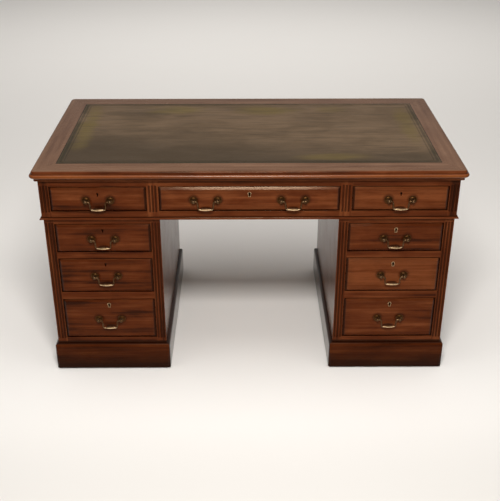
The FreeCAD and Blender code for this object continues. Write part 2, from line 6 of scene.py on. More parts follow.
import bmesh
import bpy
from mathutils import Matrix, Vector

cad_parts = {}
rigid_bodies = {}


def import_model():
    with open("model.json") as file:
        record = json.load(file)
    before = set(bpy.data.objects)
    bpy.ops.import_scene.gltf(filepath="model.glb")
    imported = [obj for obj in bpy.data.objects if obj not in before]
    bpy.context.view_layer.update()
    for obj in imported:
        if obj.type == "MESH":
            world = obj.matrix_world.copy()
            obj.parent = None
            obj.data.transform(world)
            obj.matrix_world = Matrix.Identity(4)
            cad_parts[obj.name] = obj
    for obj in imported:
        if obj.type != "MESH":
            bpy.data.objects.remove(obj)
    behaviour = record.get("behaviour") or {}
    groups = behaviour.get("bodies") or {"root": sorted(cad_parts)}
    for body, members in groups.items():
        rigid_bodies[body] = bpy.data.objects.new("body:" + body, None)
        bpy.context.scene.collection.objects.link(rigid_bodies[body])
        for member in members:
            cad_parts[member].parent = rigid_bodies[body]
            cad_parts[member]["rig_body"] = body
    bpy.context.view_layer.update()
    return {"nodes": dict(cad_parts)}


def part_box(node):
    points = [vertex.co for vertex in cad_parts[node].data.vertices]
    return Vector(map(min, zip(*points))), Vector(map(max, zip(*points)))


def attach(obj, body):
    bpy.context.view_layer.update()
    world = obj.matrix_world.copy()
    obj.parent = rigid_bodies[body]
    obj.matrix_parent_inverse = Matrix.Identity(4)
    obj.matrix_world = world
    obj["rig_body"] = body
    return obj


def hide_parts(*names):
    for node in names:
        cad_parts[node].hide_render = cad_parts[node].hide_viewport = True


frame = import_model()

nodes = frame["nodes"]
scene = bpy.context.scene
chance = random.Random(1890)


# shader helpers
def fillSocket(tree, socket, value):
    if isinstance(value, bpy.types.NodeSocket):
        tree.links.new(value, socket)
    else:
        socket.default_value = value


def addNode(tree, kind, inputs=None, **settings):
    made = tree.nodes.new(kind)
    for name, value in settings.items():
        setattr(made, name, value)
    for name, value in (inputs or {}).items():
        fillSocket(tree, made.inputs[name], value)
    return made


def doMath(tree, operation, first, second=0.0, clamp=False):
    settings = {"operation": operation, "use_clamp": clamp}
    return addNode(tree, "ShaderNodeMath", {0: first, 1: second}, **settings).outputs[0]


def plus(tree, first, second):
    return doMath(tree, "ADD", first, second)


def minus(tree, first, second):
    return doMath(tree, "SUBTRACT", first, second)


def times(tree, first, second):
    return doMath(tree, "MULTIPLY", first, second)


def larger(tree, first, second):
    return doMath(tree, "MAXIMUM", first, second)


def smaller(tree, first, second):
    return doMath(tree, "MINIMUM", first, second)


def sizeOf(tree, value):
    return doMath(tree, "ABSOLUTE", value)


def fromMiddle(tree, noise, share):
    return times(tree, minus(tree, noise, 0.5), share)


def stretched(tree, vector, scale):
    return addNode(tree, "ShaderNodeVectorMath", {0: vector, 1: scale}, operation="MULTIPLY").outputs[0]


def lengthOf(tree, vector):
    return addNode(tree, "ShaderNodeVectorMath", {0: vector}, operation="LENGTH").outputs["Value"]


def partsOf(tree, vector):
    return addNode(tree, "ShaderNodeSeparateXYZ", {0: vector}).outputs


def placeOn(tree, output="Object"):
    return addNode(tree, "ShaderNodeTexCoord").outputs[output]


def noiseAt(tree, vector, detail, roughness=0.55, distortion=0.0, scale=1.0):
    settings = {"Vector": vector, "Scale": scale, "Detail": detail}
    settings.update({"Roughness": roughness, "Distortion": distortion})
    return addNode(tree, "ShaderNodeTexNoise", settings).outputs["Fac"]


def stretchedNoise(tree, vector, scale, *texture):
    return noiseAt(tree, stretched(tree, vector, scale), *texture)


def remap(tree, value, low, high, start=0.0, end=1.0):
    settings = {"Value": value, "From Min": low, "From Max": high, "To Min": start, "To Max": end}
    return addNode(tree, "ShaderNodeMapRange", settings, interpolation_type="SMOOTHSTEP").outputs["Result"]


def blendColour(tree, amount, first, second):
    return addNode(tree, "ShaderNodeMix", {0: amount, 6: first, 7: second}, data_type="RGBA").outputs[2]


def blendValue(tree, amount, first, second):
    return addNode(tree, "ShaderNodeMix", {0: amount, 2: first, 3: second}).outputs[0]


def readAttribute(tree, name, output):
    return addNode(tree, "ShaderNodeAttribute", attribute_name=name).outputs[output]


def bumpNormal(tree, height, strength, distance):
    settings = {"Height": height, "Strength": strength, "Distance": distance}
    return addNode(tree, "ShaderNodeBump", settings).outputs["Normal"]


def newGroup(name, inputs, outputs):
    tree = bpy.data.node_groups.new(name, "ShaderNodeTree")
    for label, kind, value in inputs:
        tree.interface.new_socket(label, in_out="INPUT", socket_type=kind).default_value = value
    for label, kind in outputs:
        tree.interface.new_socket(label, in_out="OUTPUT", socket_type=kind)
    return tree, tree.nodes.new("NodeGroupInput").outputs, tree.nodes.new("NodeGroupOutput").inputs


def fillGroup(tree, group, inputs):
    return addNode(tree, "ShaderNodeGroup", inputs, node_tree=group).outputs


def newMaterial(name, settings):
    made = bpy.data.materials.new(name)
    made.use_nodes = True
    shader = made.node_tree.nodes["Principled BSDF"]
    for label, value in settings.items():
        shader.inputs[label].default_value = value
    return made, made.node_tree, shader


def linkNew(name, data):
    made = bpy.data.objects.new(name, data)
    scene.collection.objects.link(made)
    return made


# camera, lamps and air
cameraView = {
    "place": (-0.01709, -2.92138, 1.81951),
    "pitchDown": 27.682,
    "turn": -0.4224,
    "focalLength": 61.17,
    "sensor": 36.0,
    "reach": 100.0,
}
softLamps = {
    "keyPanel": {"place": (0.02, -2.2, 2.6), "aim": (0.0, -0.35, 0.50), "size": (0.80, 0.45), "power": 73.0},
    "ceilingPanel": {"place": (0.0, -0.4, 4.4), "aim": (0.0, -0.4, 0.0), "size": (7.0, 3.0), "power": 122.0},
    "wallPanel": {"place": (0.0, 4.2, 3.6), "aim": (0.0, 6.8, 0.0), "size": (6.0, 2.5), "power": 118.0},
}
airLook = {
    "colour": (1.0, 0.98, 0.955, 1.0),
    "dim": 0.12,
    "seen": 0.62,
    "glow": 0.28,
    "glowForward": (0.20, 0.75),
    "glowHeight": (0.80, 0.50),
}


def aimed(place, target):
    return (Vector(target) - Vector(place)).to_track_quat("-Z", "Y").to_euler()


def setUpCamera():
    lens = bpy.data.cameras.new("photoCamera")
    lens.lens = cameraView["focalLength"]
    lens.sensor_width = cameraView["sensor"]
    lens.clip_end = cameraView["reach"]
    eye = linkNew("photoCamera", lens)
    eye.location = cameraView["place"]
    eye.rotation_euler = (math.radians(90 - cameraView["pitchDown"]), 0, math.radians(cameraView["turn"]))
    scene.camera = eye


def setUpLamps():
    for name, lamp in softLamps.items():
        light = bpy.data.lights.new(name, "AREA")
        light.shape = "RECTANGLE"
        light.size, light.size_y = lamp["size"]
        light.energy = lamp["power"]
        holder = linkNew(name, light)
        holder.location = lamp["place"]
        holder.rotation_euler = aimed(lamp["place"], lamp["aim"])


def setUpAir():
    air = bpy.data.worlds.new("paleRoom")
    scene.world = air
    air.use_nodes = True
    tree = air.node_tree
    background = tree.nodes["Background"]
    background.inputs["Color"].default_value = airLook["colour"]
    toward = partsOf(tree, placeOn(tree, "Generated"))
    ahead = remap(tree, toward[1], *airLook["glowForward"])
    glow = times(tree, ahead, remap(tree, toward[2], *airLook["glowHeight"]))
    strength = plus(tree, airLook["dim"], times(tree, glow, airLook["glow"]))
    straight = addNode(tree, "ShaderNodeLightPath").outputs["Is Camera Ray"]
    seen = blendValue(tree, straight, strength, airLook["seen"])  # looked at, the air is paler than its light
    tree.links.new(seen, background.inputs["Strength"])
    scene.view_settings.view_transform = "Standard"


# floor: pale and a little mottled, with painted light and shade: paler near the desk, where the desk's shadow
# falls, and darker towards the camera, under the key lamp's pool of light
floorLook = {
    "size": 40.0,
    "dark": (0.730, 0.694, 0.646, 1.0),
    "pale": (0.925, 0.885, 0.835, 1.0),
    "paintedFalloff": (-1.05, -0.42, 0.0, 0.9),
    "mottle": (3.0, 0.5, 0.0, 1.3),  # detail, roughness, distortion, scale
    "mottleShare": 0.12,
    "rough": (0.3, 0.7, 0.62, 0.55),
    "shine": 0.1,
}


def makeFloor():
    bm = bmesh.new()
    bmesh.ops.create_grid(bm, x_segments=1, y_segments=1, size=floorLook["size"] / 2)
    mesh = bpy.data.meshes.new("paleFloor")
    bm.to_mesh(mesh)
    bm.free()
    made, tree, shader = newMaterial("paleFloor", {"Specular IOR Level": floorLook["shine"]})
    place = placeOn(tree)
    mottle = noiseAt(tree, place, *floorLook["mottle"])
    # painted light and shade along the floor: paler near the desk, darker towards the camera
    faded = remap(tree, partsOf(tree, place)[1], *floorLook["paintedFalloff"])
    pale = plus(tree, faded, times(tree, mottle, floorLook["mottleShare"]))
    tree.links.new(blendColour(tree, pale, floorLook["dark"], floorLook["pale"]), shader.inputs["Base Color"])
    tree.links.new(remap(tree, mottle, *floorLook["rough"]), shader.inputs["Roughness"])
    mesh.materials.append(made)
    linkNew("paleFloor", mesh)


# wood figure: streaks and pores along the board, with broader bands and clouds
woodFigure = {
    "streak": ((2.4, 62.0, 62.0), 5.0, 0.62),  # scale, detail, roughness, distortion
    "band": ((1.4, 15.0, 15.0), 2.0, 0.5, 1.2),
    "cloud": ((5.5, 13.0, 13.0), 4.0, 0.55, 0.6),
    "pore": ((26.0, 900.0, 900.0), 2.0),
    "haze": ((14.0, 14.0, 14.0), 3.0),
    "bandShare": 0.30,
    "cloudShare": 0.62,
    "figureDrop": 0.905,
    "toMiddle": (0.28, 0.56),
    "toLight": (0.52, 0.86),
    "poreEdge": (0.56, 0.70),
    "poreDark": 0.38,
    "poreRough": 0.12,
    "hazeRough": 0.12,
    "wornAndHighlightPatches": (0.36, 0.62),
    "wornAndHighlightShare": 0.6,
    "shadeAndGrime": (0.0160, 0.0030, 0.0006, 1),
    "shadeAndGrimeHaze": 0.2,
    "shadeAndGrimeRange": (0.18, 0.80, 0.0, 0.9),
    "paintedShadeReach": 0.008,
    "paintedShadeSamples": 8,
    "streakHeight": 0.4,
    "relief": 0.10,
    "reliefDepth": 0.0002,
    "varnishTint": (1.0, 0.72, 0.48, 1),
}
colourSocket, numberSocket, vectorSocket = "NodeSocketColor", "NodeSocketFloat", "NodeSocketVector"
black = (0, 0, 0, 1)
surfaceOutputs = [("colour", colourSocket), ("roughness", numberSocket), ("height", numberSocket)]
shadeNames = ("dark", "middle", "light")


def makeWoodGroup():
    inputs = [("grain", vectorSocket, (0, 0, 0)), ("tone", numberSocket, 0.5), ("arris", numberSocket, 0.0),
              ("recess", numberSocket, 0.0), ("polish", numberSocket, 0.3)]
    inputs += [(name, colourSocket, black) for name in shadeNames + ("wornAndHighlight",)]
    tree, given, result = newGroup("woodFigure", inputs, surfaceOutputs)
    grain, names = given["grain"], ("streak", "band", "cloud", "pore", "haze")
    streak, band, cloud, pore, haze = (stretchedNoise(tree, grain, *woodFigure[name]) for name in names)
    pore = remap(tree, pore, *woodFigure["poreEdge"])
    figure = plus(tree, streak, times(tree, band, woodFigure["bandShare"]))
    figure = plus(tree, figure, times(tree, cloud, woodFigure["cloudShare"]))
    figure = plus(tree, figure, minus(tree, given["tone"], woodFigure["figureDrop"]))
    wood = blendColour(tree, remap(tree, figure, *woodFigure["toMiddle"]), given["dark"], given["middle"])
    wood = blendColour(tree, remap(tree, figure, *woodFigure["toLight"]), wood, given["light"])
    wood = blendColour(tree, times(tree, pore, woodFigure["poreDark"]), wood, given["dark"])
    # the worn colour goes on eased arrises as wear, and along the top edge of each drawer front as a painted
    # highlight
    brightened = times(tree, given["arris"], remap(tree, haze, *woodFigure["wornAndHighlightPatches"]))
    wood = blendColour(tree, times(tree, brightened, woodFigure["wornAndHighlightShare"]), wood, given["wornAndHighlight"])
    # painted shade: the dark colour goes into creases, gaps, flutes and the places marked for it, with a
    # little patchy grime
    shadeAndGrimeAmount = plus(tree, given["recess"], times(tree, haze, woodFigure["shadeAndGrimeHaze"]))
    wood = blendColour(tree, remap(tree, shadeAndGrimeAmount, *woodFigure["shadeAndGrimeRange"]), wood, woodFigure["shadeAndGrime"])
    rough = plus(tree, given["polish"], times(tree, pore, woodFigure["poreRough"]))
    rough = plus(tree, rough, fromMiddle(tree, haze, woodFigure["hazeRough"]))
    tree.links.new(wood, result["colour"])
    tree.links.new(rough, result["roughness"])
    tree.links.new(minus(tree, times(tree, streak, woodFigure["streakHeight"]), pore), result["height"])
    return tree


# painted shade round a drawer front: dark in its gaps, along its sides and bottom and across its bevel,
# fading inwards; a darker halo round each post; the painted shadow of the hanging bail, which is also the
# mark where it knocks; and a painted highlight along the top edge. Each range is near, far, amount when near,
# amount when far
drawerRim = {
    "side": (0.0034, 0.0098, 0.85, 0.0),
    "bottom": (0.0018, 0.0052, 0.95, 0.0),
    "gap": (0.0006, 0.0017, 0.95, 0.0),
    "bevel": (0.0075, 0.0095, 0.30, 0.0),
    "paintedFalloff": (0.008, 0.050, 0.25, 0.0),
    "topHighlight": (0.0018, 0.0036, 0.8, 0.0),
    "postPlace": 0.040,
    "postHalo": (0.013, 0.028, 0.42, 0.0),
    "bailShadowAndMark": (0.5, 1.2, 0.60, 0.0),
    "bailShadowAndMarkHalves": (0.024, 0.0065),
    "bailShadowAndMarkDrop": 0.031,
}


def reachOf(tree, across, along):
    return lengthOf(tree, addNode(tree, "ShaderNodeCombineXYZ", {0: across, 1: along}).outputs[0])


def makeRimGroup():
    names = ("low", "high", "handle")
    inputs = [(name, vectorSocket, (0, 0, 0)) for name in names]
    tree, given, result = newGroup("drawerRim", inputs, [("recess", numberSocket), ("brightened", numberSocket)])
    low, high, handle = (partsOf(tree, given[name]) for name in names)
    sides = smaller(tree, low[0], high[0])
    room = smaller(tree, sides, smaller(tree, low[1], high[1]))
    beside = sizeOf(tree, minus(tree, sizeOf(tree, handle[0]), handle[2]))
    halfWidth, halfHeight = drawerRim["bailShadowAndMarkHalves"]  # painted shadow of the hanging bail, also the mark where it knocks the front
    below = times(tree, plus(tree, handle[1], drawerRim["bailShadowAndMarkDrop"]), 1 / halfHeight)
    underBail = remap(tree, reachOf(tree, times(tree, beside, 1 / halfWidth), below), *drawerRim["bailShadowAndMark"])
    fromPost = reachOf(tree, minus(tree, beside, drawerRim["postPlace"]), handle[1])
    worst = larger(tree, underBail, remap(tree, fromPost, *drawerRim["postHalo"]))
    reaches = {"side": sides, "bottom": low[1], "gap": high[1], "bevel": room, "paintedFalloff": room}
    for key, reach in reaches.items():
        worst = larger(tree, worst, remap(tree, reach, *drawerRim[key]))
    tree.links.new(times(tree, low[2], worst), result["recess"])
    # painted highlight along the top edge of the front
    topHighlight = remap(tree, high[1], *drawerRim["topHighlight"])
    tree.links.new(times(tree, low[2], topHighlight), result["brightened"])
    return tree


woodFinishes = {
    "mahogany": {
        "dark": (0.028, 0.0056, 0.0018, 1), "middle": (0.091, 0.0185, 0.0044, 1),
        "light": (0.168, 0.0455, 0.0135, 1), "wornAndHighlight": (0.22, 0.070, 0.020, 1), "polish": 0.15, "shine": 0.10,
    },
    # the pedestal sides: lighter and warmer than the fronts, the wood's colour with a painted warm reflection
    "sideMahogany": {
        "dark": (0.046, 0.0112, 0.0026, 1), "middle": (0.108, 0.0300, 0.0072, 1),
        "light": (0.168, 0.0540, 0.0150, 1), "wornAndHighlight": (0.22, 0.070, 0.020, 1), "polish": 0.20, "shine": 0.18,
        "relief": 0.01,
    },
    "plinthMahogany": {
        "dark": (0.018, 0.0034, 0.0007, 1), "middle": (0.056, 0.0110, 0.0024, 1),
        "light": (0.100, 0.0240, 0.0058, 1), "wornAndHighlight": (0.16, 0.045, 0.014, 1), "polish": 0.24, "shine": 0.07,
    },
    "topMahogany": {
        "dark": (0.091, 0.0395, 0.0195, 1), "middle": (0.131, 0.0635, 0.0338, 1),
        "light": (0.178, 0.0920, 0.0510, 1), "wornAndHighlight": (0.24, 0.105, 0.048, 1), "polish": 0.26, "shine": 0.14,
    },
    "nosing": {
        "dark": (0.084, 0.0182, 0.0024, 1), "middle": (0.152, 0.0362, 0.0055, 1),
        "light": (0.214, 0.0600, 0.0110, 1),
    },
    "drawerOak": {
        "dark": (0.23, 0.135, 0.062, 1), "middle": (0.36, 0.225, 0.11, 1), "light": (0.46, 0.31, 0.165, 1),
        "wornAndHighlight": (0.40, 0.27, 0.14, 1), "polish": 0.55, "shine": 0.25,
    },
    "caseDeal": {
        "dark": (0.25, 0.145, 0.065, 1), "middle": (0.40, 0.25, 0.12, 1), "light": (0.52, 0.35, 0.18, 1),
        "wornAndHighlight": (0.45, 0.30, 0.16, 1), "polish": 0.62, "shine": 0.2,
    },
}
woodFinishes["plinthReturn"] = dict(woodFinishes["plinthMahogany"], polish=0.16, shine=0.22, relief=0.01)
topEdge = {
    "faceFade": (0.0025, 0.0003),  # depths below the top
    "noseDrop": 0.0180,
    "noseReach": (0.0045, 0.0070, 1.0, 0.0),
    "gloss": 0.42,
    "glossRough": 0.20,
}
plinthShade = {  # painted shade in the crease where the pedestal meets the plinth: heights from the top of the plinth, then the shade at each
    "onPedestal": (0.0030, 0.0120, 0.80, 0.0),
    "onPlinth": (-0.0045, -0.0012, 0.0, 0.92),
}


def shadeNear(level, low, high, start, end):
    return level + low, level + high, start, end


def boardInputs(tree):
    reach, samples = {"Distance": woodFigure["paintedShadeReach"]}, woodFigure["paintedShadeSamples"]
    # painted shade: ambient occlusion darkens the wood in creases, gaps and hollows
    openness = addNode(tree, "ShaderNodeAmbientOcclusion", reach, samples=samples).outputs["AO"]
    rim = fillGroup(tree, rimGroup, {
        "low": readAttribute(tree, "rimLow", "Vector"), "high": readAttribute(tree, "rimHigh", "Vector"),
        "handle": readAttribute(tree, "handle", "Vector")})
    hollow = larger(tree, readAttribute(tree, "flute", "Fac"), rim["recess"])
    return {
        "grain": readAttribute(tree, "grain", "Vector"), "tone": readAttribute(tree, "tone", "Fac"),
        "arris": larger(tree, readAttribute(tree, "arris", "Fac"), rim["brightened"]),
        "recess": larger(tree, hollow, minus(tree, 1.0, openness)),
    }


# the top's flat face has faded, its hollows have kept their colour, its nosing is rubbed and glossy
def finishTopEdge(tree, shader, given, height, topHeight):
    faded = remap(tree, height, *(topHeight - depth for depth in topEdge["faceFade"]))
    offNose = sizeOf(tree, minus(tree, height, topHeight - topEdge["noseDrop"]))
    brightened = remap(tree, offNose, *topEdge["noseReach"])
    for key in shadeNames:
        edge = blendColour(tree, brightened, woodFinishes["mahogany"][key], woodFinishes["nosing"][key])
        given[key] = blendColour(tree, faded, edge, given[key])
    handled = larger(tree, brightened, readAttribute(tree, "arris", "Fac"))
    tree.links.new(times(tree, handled, topEdge["gloss"]), shader.inputs["Coat Weight"])
    shader.inputs["Coat Roughness"].default_value = topEdge["glossRough"]


def makeWood(name, finish, onNode=False, topHeight=None, shadeByHeight=None):
    look = woodFinishes[finish]
    settings = {"Specular IOR Level": look["shine"], "Specular Tint": woodFigure["varnishTint"]}
    made, tree, shader = newMaterial(name, settings)
    if onNode:
        given = {"grain": placeOn(tree), "tone": 0.5, "arris": 0.0, "recess": 0.0}
    else:
        given = boardInputs(tree)
    given.update({key: look[key] for key in shadeNames + ("wornAndHighlight", "polish")})
    height = partsOf(tree, placeOn(tree))[2]
    if shadeByHeight:
        given["recess"] = larger(tree, given["recess"], remap(tree, height, *shadeByHeight))
    if topHeight:
        finishTopEdge(tree, shader, given, height, topHeight)
    figure = fillGroup(tree, woodGroup, given)
    tree.links.new(figure["colour"], shader.inputs["Base Color"])
    tree.links.new(figure["roughness"], shader.inputs["Roughness"])
    relief = look.get("relief", woodFigure["relief"])
    normal = bumpNormal(tree, figure["height"], relief, woodFigure["reliefDepth"])
    tree.links.new(normal, shader.inputs["Normal"])
    return made


# metal: tarnish in the hollows of a slow noise, rubbed bright where hands reach; a bail's grip is painted
# bright below, as wear and as a painted reflection of the pale floor, and dark above, as a painted reflection
# of the dim room
metalFinishes = {
    "handleBrass": {
        "dark": (0.070, 0.0280, 0.0080, 1), "bright": (0.96, 0.69, 0.40, 1),
        "roughDark": 0.46, "roughBright": 0.17,
    },
    "castorIron": {
        "dark": (0.030, 0.026, 0.023, 1), "bright": (0.11, 0.095, 0.08, 1),
        "roughDark": 0.62, "roughBright": 0.42,
    },
}
oldMetal = {
    "stain": (4.0, 0.6, 0.4, 130.0),  # detail, roughness, distortion, scale
    "speck": (2.0, 0.5, 0.0, 900.0),
    "stainShare": (1.1, 0.25),  # where brightened, and everywhere
    "speckShare": 0.3,
    "relief": 0.15,
    "reliefDepth": 0.0002,
    "castorRub": 0.35,
}


def makeMetalGroup():
    inputs = [("brightened", numberSocket, 0.0), ("dark", colourSocket, black), ("bright", colourSocket, black),
              ("roughDark", numberSocket, 0.5), ("roughBright", numberSocket, 0.3)]
    tree, given, result = newGroup("oldMetal", inputs, surfaceOutputs)
    place = placeOn(tree)
    stain, speck = noiseAt(tree, place, *oldMetal["stain"]), noiseAt(tree, place, *oldMetal["speck"])
    whereRubbed, everywhere = oldMetal["stainShare"]
    uneven = plus(tree, times(tree, given["brightened"], whereRubbed), everywhere)
    bare = plus(tree, given["brightened"], fromMiddle(tree, stain, uneven))
    bare = doMath(tree, "ADD", bare, fromMiddle(tree, speck, oldMetal["speckShare"]), clamp=True)
    tree.links.new(blendColour(tree, bare, given["dark"], given["bright"]), result["colour"])
    tree.links.new(blendValue(tree, bare, given["roughDark"], given["roughBright"]), result["roughness"])
    tree.links.new(speck, result["height"])
    return tree


def makeMetal(name, brightened=None):
    made, tree, shader = newMaterial(name, {"Metallic": 1.0})
    given = dict(metalFinishes[name])
    given["brightened"] = readAttribute(tree, "brightened", "Fac") if brightened is None else brightened
    metal = fillGroup(tree, metalGroup, given)
    tree.links.new(metal["colour"], shader.inputs["Base Color"])
    tree.links.new(metal["roughness"], shader.inputs["Roughness"])
    normal = bumpNormal(tree, metal["height"], oldMetal["relief"], oldMetal["reliefDepth"])
    tree.links.new(normal, shader.inputs["Normal"])
    return made


# boards: each solid of a node is welded on its own, eased at its arrises and given its own grain
boardMaking = {
    "weld": 1e-5,
    "flatAngle": 0.4,
    "arrisAngles": (40.0, 140.0),
    "arrisWidth": 0.0007,
    "arrisSegments": 2,
    "shortestArris": 0.006,
    "nearEdge": 0.0018,
    "smoothAngle": 32.0,
    "offsetReach": 4.0,
    "toneSpread": 0.05,
    "fluteDepth": 0.0026,
    "deepest": 1.1,
    "fluteShade": 0.52,
    "fluteCurve": 0.3,
}


def splitSolids(bm, layer):
    unmet, count = Counter(), 0
    same = bmesh.ops.find_doubles(bm, verts=bm.verts, dist=boardMaking["weld"])["targetmap"]
    for face in bm.faces:
        face[layer] = count
        corners = [same.get(v, v).index for v in face.verts]
        for start, end in zip(corners, corners[1:] + corners[:1]):
            if unmet[end, start]:
                unmet[end, start] -= 1
            elif start != end:
                unmet[start, end] += 1
        unmet = +unmet
        if not unmet:  # the last triangle of a closed solid
            count += 1
    return count


def solidVerts(bm, layer, count):
    solids = [{} for _ in range(count)]  # in the order of the faces, so that every run welds alike
    for face in bm.faces:
        solids[face[layer]].update(dict.fromkeys(face.verts))
    return [list(verts) for verts in solids]


def weldSolids(bm, layer, count):
    for verts in solidVerts(bm, layer, count + 1):
        if verts:
            bmesh.ops.remove_doubles(bm, verts=verts, dist=boardMaking["weld"])
    flat = math.radians(boardMaking["flatAngle"])
    bmesh.ops.dissolve_limit(bm, angle_limit=flat, verts=bm.verts[:], edges=bm.edges[:])


def isArris(edge):
    low, high = (math.radians(a) for a in boardMaking["arrisAngles"])
    if len(edge.link_faces) != 2 or not edge.is_convex or edge.calc_length() < boardMaking["shortestArris"]:
        return False
    if not low < edge.calc_face_angle() < high:
        return False
    nearby = (other for vert in edge.verts for other in vert.link_edges)
    return all(other.calc_length() > boardMaking["nearEdge"] for other in nearby)


def easeArrises(bm, layer, arrisLayer, count, width):
    for solid in range(count):
        edges = [e for e in bm.edges if isArris(e) and e.link_faces[0][layer] == solid]
        if not edges:
            continue
        eased = bmesh.ops.bevel(
            bm, geom=edges, offset=width, segments=boardMaking["arrisSegments"], profile=0.5, affect="EDGES",
            clamp_overlap=True, material=-1)
        for face in eased["faces"]:
            face[layer] = solid
            face[arrisLayer] = 1.0
    bmesh.ops.dissolve_degenerate(bm, dist=boardMaking["weld"], edges=bm.edges[:])


def spanOf(verts):
    return [Vector([pick(v.co[i] for v in verts) for i in range(3)]) for pick in (min, max)]


def runsDeep(verts):
    low, high = spanOf(verts)
    return high.y - low.y > high.x - low.x


# a board's own tone, with painted shade where dimInner or dimOuter darkens it by its place
def placedToneAndShade(settings, middle):
    tone = settings.get("tone", 0.0)
    if "dimInner" in settings and abs(middle) < settings["dimInner"][0]:
        tone += settings["dimInner"][1]
    if "dimOuter" in settings and abs(middle) > settings["dimOuter"][0]:
        tone += settings["dimOuter"][1]
    return tone


def layGrain(bm, layer, count, settings):
    spread = settings.get("spread", boardMaking["toneSpread"])
    grainLayer = bm.verts.layers.float_vector.new("grain")
    toneLayer = bm.verts.layers.float.new("tone")
    for verts in solidVerts(bm, layer, count):
        low, high = spanOf(verts)
        spans = [high[i] - low[i] for i in range(3)]
        along = settings.get("grain", spans.index(max(spans)))
        order = [along] + [i for i in range(3) if i != along]
        shift = Vector([chance.uniform(0, boardMaking["offsetReach"]) for _ in order])
        boardToneAndShade = 0.5 + placedToneAndShade(settings, (low.x + high.x) / 2) + chance.uniform(-spread, spread)
        for vert in verts:
            vert[grainLayer] = Vector([vert.co[i] for i in order]) + shift
            vert[toneLayer] = boardToneAndShade


def markRim(bm, layer, count, front, bail):
    names = ("rimLow", "rimHigh", "handle")
    for name in names:  # a new layer drops the vertices picked before it
        bm.verts.layers.float_vector.new(name)
    lowLayer, highLayer, handleLayer = (bm.verts.layers.float_vector[name] for name in names)
    verts = solidVerts(bm, layer, count)[front]
    low, high = spanOf(verts)
    bailLow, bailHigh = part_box(bail)
    middle = (low.x + high.x) / 2
    offset = abs((bailLow.x + bailHigh.x) / 2 - middle)
    for vert in verts:
        vert[lowLayer] = (vert.co.x - low.x, vert.co.z - low.z, 1.0)
        vert[highLayer] = (high.x - vert.co.x, high.z - vert.co.z, 1.0)
        vert[handleLayer] = (vert.co.x - middle, vert.co.z - bailHigh.z, offset)


def markFlutes(bm, layer, count):
    fluteLayer = bm.verts.layers.float.new("flute")
    for verts in solidVerts(bm, layer, count):
        face = min(v.co.y for v in verts)
        for vert in verts:
            depth = (vert.co.y - face) / boardMaking["fluteDepth"]
            if 0.0 <= depth < boardMaking["deepest"]:
                # painted shade, darker deeper in the flute
                vert[fluteLayer] = boardMaking["fluteShade"] * depth ** boardMaking["fluteCurve"]


def markHeight(bm, atBottom, atTop):
    fluteLayer = bm.verts.layers.float.new("flute")
    low, high = spanOf(bm.verts)
    for vert in bm.verts:
        share = (vert.co.z - low.z) / (high.z - low.z)
        vert[fluteLayer] = max(0.0, atBottom + (atTop - atBottom) * share)


def meshPiece(bm, name, materials):
    mesh = bpy.data.meshes.new(name)
    bm.to_mesh(mesh)
    bm.free()
    for material in materials:
        mesh.materials.append(material)
    for polygon in mesh.polygons:
        polygon.use_smooth = True
    mesh.set_sharp_from_angle(angle=math.radians(boardMaking["smoothAngle"]))
    return linkNew(name, mesh)


def standFor(piece, node):
    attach(piece, nodes[node]["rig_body"])
    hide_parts(node)


def dressBoards(node, settings, materials):
    bm = bmesh.new()
    bm.from_mesh(nodes[node].data)
    layer = bm.faces.layers.int.new("solid")
    arrisLayer = bm.faces.layers.float.new("arris")
    count = splitSolids(bm, layer)
    weldSolids(bm, layer, count)
    easeArrises(bm, layer, arrisLayer, count, settings.get("arris", boardMaking["arrisWidth"]))
    layGrain(bm, layer, count, settings)
    solids = solidVerts(bm, layer, count)
    others = []  # the solids that take the second material
    if "bail" in settings:  # a drawer: only its front board is show wood
        front = min(range(count), key=lambda solid: min(v.co.y for v in solids[solid]))
        others = [solid for solid in range(count) if solid != front]
        markRim(bm, layer, count, front, settings["bail"])
    elif len(materials) > 1:  # a plinth: its returns are more polished than its front
        others = [solid for solid in range(count) if runsDeep(solids[solid])]
    for face in bm.faces:
        face.material_index = 1 if face[layer] in others else 0
    if settings.get("fluted"):
        markFlutes(bm, layer, count)
    if settings.get("darkerByHeight"):
        markHeight(bm, *settings["darkerByHeight"])
    piece = meshPiece(bm, node + "_polished", materials)
    weighted = piece.modifiers.new("flatFaces", "WEIGHTED_NORMAL")
    weighted.keep_sharp = True
    standFor(piece, node)
    return count


upright = 2  # the axis of stiles and pedestal sides
caseBoards = {
    "frieze_ends_and_back": {"tone": 0.06},
    # the outer stiles are painted darker, as shade at the ends of the desk
    "frieze_fluted_stiles": {"grain": upright, "tone": 0.06, "fluted": True, "dimOuter": (0.60, -0.18)},
    "frieze_front_rails": {"tone": 0.04},
    # painted shade: the base moulding is darker towards its top, in the crease under the rail
    "frieze_base_moulding": {"tone": 0.06, "darkerByHeight": (-0.7, 0.95), "arris": 0.0012},
    "pedestal_fluted_stiles": {"grain": upright, "tone": -0.01, "fluted": True},
    "pedestal_drawer_rails": {"tone": 0.02},
}
topBorder = {"spread": 0.03}
pedestalSides = {"grain": upright}
# the plinth is darker towards the bottom, and its boards near the middle are painted darker as shade in the
# kneehole
plinthBoards = {"spread": 0.03, "arris": 0.0012, "darkerByHeight": (0.75, -0.1), "dimInner": (0.31, -0.30)}
drawerSpread = 0.02
# each drawer's own tone, with painted light: the drawers on the left darker, those on the right lighter
drawerToneAndShade = {
    "left_frieze": 0.0, "centre_frieze": 0.08, "right_frieze": 0.15,
    "left_top": -0.01, "left_middle": -0.11, "left_bottom": -0.07,
    "right_top": 0.05, "right_middle": 0.15, "right_bottom": 0.06,
}


